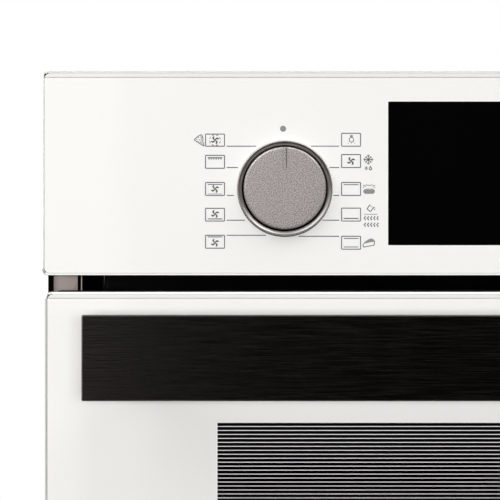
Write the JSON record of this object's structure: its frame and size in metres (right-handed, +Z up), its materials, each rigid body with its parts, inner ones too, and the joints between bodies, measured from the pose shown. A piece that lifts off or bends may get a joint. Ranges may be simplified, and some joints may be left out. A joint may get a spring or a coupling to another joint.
{
  "type": "wall oven",
  "caption": "Built-in single oven with a white glass front, retractable knobs, black flat bar handle, drop-down sprung door, shelf and tray in a fan cavity.",
  "frame": {"origin": "on the base plane, at the centre of the overall footprint (handle front to back cover)", "axes": "+X to the user's right, -Y towards the user, +Z up"},
  "size_m": [0.595, 0.608, 0.595],
  "materials": {
    "white_glass": "back-printed, glossy",
    "display_glass": "black, glossy",
    "clear_glass": "clear",
    "black_handle": "black anodised, brushed",
    "knob_metal": "satin, fine grained",
    "bezel_metal": "knurled rim",
    "galvanised": "galvanised sheet",
    "black_enamel": "glossy enamel",
    "grey_enamel": "glossy enamel with fine speckle",
    "aluminised": "dull",
    "black_plastic": "fine texture",
    "grey_profile": "satin",
    "silicone": "matt",
    "zinc_steel": "zinc plated",
    "spring_steel": "drawn wire",
    "chromed_wire": "polished",
    "heater_sheath": "heat darkened",
    "wool": "mineral wool",
    "circuit_board": "solder mask",
    "ivory_plastic": "moulded",
    "lamp_glass": "pressed",
    "lamp_ceramic": "unglazed"
  },
  "bodies": {
    "oven_body": {"control_panel_glass": "white_glass", "display_lens": "display_glass", "display_module": "circuit_board", "panel_carrier": "black_plastic", "function_bezel": "bezel_metal", "temperature_bezel": "bezel_metal", "knob_springs": "spring_steel", "function_switch": "ivory_plastic", "thermostat": "zinc_steel", "switch_crossbar": "galvanised", "left_hinge_housing": "zinc_steel", "right_hinge_housing": "zinc_steel", "hinge_pins": "zinc_steel", "left_hinge_spring": "spring_steel", "right_hinge_spring": "spring_steel", "front_frame": "black_enamel", "door_seal": "silicone", "cavity_shell": "grey_enamel", "cavity_back": "grey_enamel", "insulation": "wool", "fan_baffle": "grey_enamel", "fan_motor": "zinc_steel", "ring_element": "heater_sheath", "grill_element": "heater_sheath", "bottom_element": "heater_sheath", "left_shelf_rack": "chromed_wire", "right_shelf_rack": "chromed_wire", "lamp_lens": "lamp_glass", "lamp_bulb": "lamp_ceramic", "air_duct": "aluminised", "cooling_fan_housing": "aluminised", "base_plate": "galvanised", "left_side_panel": "galvanised", "right_side_panel": "galvanised", "body_covers": "galvanised", "terminal_box": "black_plastic"},
    "door": {"door_outer_glass": "white_glass", "door_middle_glass": "clear_glass", "door_inner_glass": "clear_glass", "door_left_profile": "grey_profile", "door_right_profile": "grey_profile", "door_top_trim": "black_plastic", "door_bottom_profile": "grey_profile", "glass_spacers": "silicone", "handle_bar": "black_handle", "left_handle_post": "black_handle", "right_handle_post": "black_handle", "handle_screws": "zinc_steel", "left_hinge_arm": "zinc_steel", "right_hinge_arm": "zinc_steel"},
    "function_spindle_body": {"function_spindle": "zinc_steel"},
    "function_knob_body": {"function_knob": "knob_metal"},
    "temperature_spindle_body": {"temperature_spindle": "zinc_steel"},
    "temperature_knob_body": {"temperature_knob": "knob_metal"},
    "left_drawbar_body": {"left_hinge_drawbar": "zinc_steel"},
    "right_drawbar_body": {"right_hinge_drawbar": "zinc_steel"},
    "convection_fan": {"fan_impeller": "aluminised"},
    "cooling_fan": {"cooling_fan_rotor": "aluminised"},
    "shelf": {"wire_shelf": "chromed_wire"},
    "tray": {"baking_tray": "grey_enamel"}
  },
  "joints": [
    {"name": "door_hinge", "type": "hinge", "parent": "oven_body", "child": "door", "pos_m": [0, -0.246, 0.024], "axis": [1, 0, 0], "range_deg": [0, 90], "stiffness_Nm_per_rad": 8, "springref_deg": -20.05},
    {"name": "left_drawbar_slide", "type": "slide", "parent": "oven_body", "child": "left_drawbar_body", "axis": [0, -1, 0], "range_m": [0, 0.014], "deforming": ["left_hinge_spring"]},
    {"name": "right_drawbar_slide", "type": "slide", "parent": "oven_body", "child": "right_drawbar_body", "axis": [0, -1, 0], "range_m": [0, 0.014], "deforming": ["right_hinge_spring"]},
    {"name": "function_turn", "type": "hinge", "parent": "oven_body", "child": "function_spindle_body", "pos_m": [-0.1751, -0.262, 0.5359], "axis": [0, 1, 0], "continuous": true},
    {"name": "function_knob_push", "type": "slide", "parent": "function_spindle_body", "child": "function_knob_body", "axis": [0, -1, 0], "range_m": [0, 0.018]},
    {"name": "temperature_turn", "type": "hinge", "parent": "oven_body", "child": "temperature_spindle_body", "pos_m": [0.1751, -0.262, 0.5359], "axis": [0, 1, 0], "range_deg": [0, 270]},
    {"name": "temperature_knob_push", "type": "slide", "parent": "temperature_spindle_body", "child": "temperature_knob_body", "axis": [0, -1, 0], "range_m": [0, 0.018]},
    {"name": "convection_fan_spin", "type": "hinge", "parent": "oven_body", "child": "convection_fan", "pos_m": [0, 0.178, 0.26], "axis": [0, 1, 0], "continuous": true},
    {"name": "cooling_fan_spin", "type": "hinge", "parent": "oven_body", "child": "cooling_fan", "pos_m": [0, 0.078, 0.53], "axis": [1, 0, 0], "continuous": true},
    {"name": "shelf_slide", "type": "slide", "parent": "oven_body", "child": "shelf", "axis": [0, -1, 0], "range_m": [0, 0.02]},
    {"name": "tray_slide", "type": "slide", "parent": "oven_body", "child": "tray", "axis": [0, -1, 0], "range_m": [0, 0.02]}
  ],
  "couplings": [
    {"joint": "left_drawbar_slide", "follows": "door_hinge", "m_per_rad": 0.0089},
    {"joint": "right_drawbar_slide", "follows": "door_hinge", "m_per_rad": 0.0089}
  ]
}
